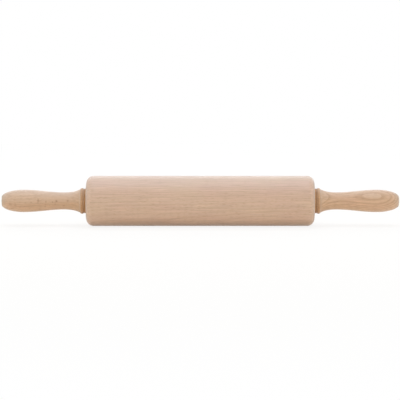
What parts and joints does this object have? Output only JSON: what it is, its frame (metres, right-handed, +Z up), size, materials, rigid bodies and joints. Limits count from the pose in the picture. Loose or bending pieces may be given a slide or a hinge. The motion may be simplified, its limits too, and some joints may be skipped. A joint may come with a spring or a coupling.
{
  "type": "rolling pin",
  "caption": "Wooden rolling pin: a straight roller with rounded ends that spins on ball bearings about a steel axle, with a turned handle on each end.",
  "frame": {"origin": "the middle of the roller, on its turning axis", "axes": "+X along the axle to the right-hand handle, +Z up; the roller rests on a surface 27.5 mm below the origin"},
  "size_m": [0.4352, 0.055, 0.055],
  "materials": {
    "roller_wood": "fine-sanded pale beech",
    "handle_wood": "turned, lightly oiled beech",
    "cap_plastic": "moulded, satin amber-brown",
    "cage_plastic": "moulded, natural",
    "axle_steel": "drawn bar",
    "bearing_steel": "ground",
    "ball_steel": "polished"
  },
  "bodies": {
    "handle_assembly": {"axle_rod": "axle_steel", "left_handle": "handle_wood", "left_spacer_sleeve": "axle_steel", "left_bearing_inner_ring": "bearing_steel", "right_handle": "handle_wood", "right_spacer_sleeve": "axle_steel", "right_bearing_inner_ring": "bearing_steel"},
    "roller": {"roller_barrel": "roller_wood", "left_end_cap": "cap_plastic", "left_bearing_outer_ring": "bearing_steel", "left_bearing_outboard_shield": "bearing_steel", "left_bearing_inboard_shield": "bearing_steel", "right_end_cap": "cap_plastic", "right_bearing_outer_ring": "bearing_steel", "right_bearing_outboard_shield": "bearing_steel", "right_bearing_inboard_shield": "bearing_steel"},
    "left_ball_train": {"left_bearing_cage": "cage_plastic", "left_bearing_ball_1": "ball_steel", "left_bearing_ball_2": "ball_steel", "left_bearing_ball_3": "ball_steel", "left_bearing_ball_4": "ball_steel", "left_bearing_ball_5": "ball_steel", "left_bearing_ball_6": "ball_steel", "left_bearing_ball_7": "ball_steel"},
    "right_ball_train": {"right_bearing_cage": "cage_plastic", "right_bearing_ball_1": "ball_steel", "right_bearing_ball_2": "ball_steel", "right_bearing_ball_3": "ball_steel", "right_bearing_ball_4": "ball_steel", "right_bearing_ball_5": "ball_steel", "right_bearing_ball_6": "ball_steel", "right_bearing_ball_7": "ball_steel"}
  },
  "joints": [
    {"name": "roller_spin", "type": "hinge", "parent": "handle_assembly", "child": "roller", "pos_m": [0, 0, 0], "axis": [1, 0, 0], "continuous": true},
    {"name": "left_ball_train_spin", "type": "hinge", "parent": "handle_assembly", "child": "left_ball_train", "pos_m": [-0.1164, 0, 0], "axis": [1, 0, 0], "continuous": true},
    {"name": "right_ball_train_spin", "type": "hinge", "parent": "handle_assembly", "child": "right_ball_train", "pos_m": [0.1164, 0, 0], "axis": [1, 0, 0], "continuous": true}
  ],
  "couplings": [
    {"joint": "left_ball_train_spin", "follows": "roller_spin", "ratio": 0.6323},
    {"joint": "right_ball_train_spin", "follows": "roller_spin", "ratio": 0.6323}
  ]
}
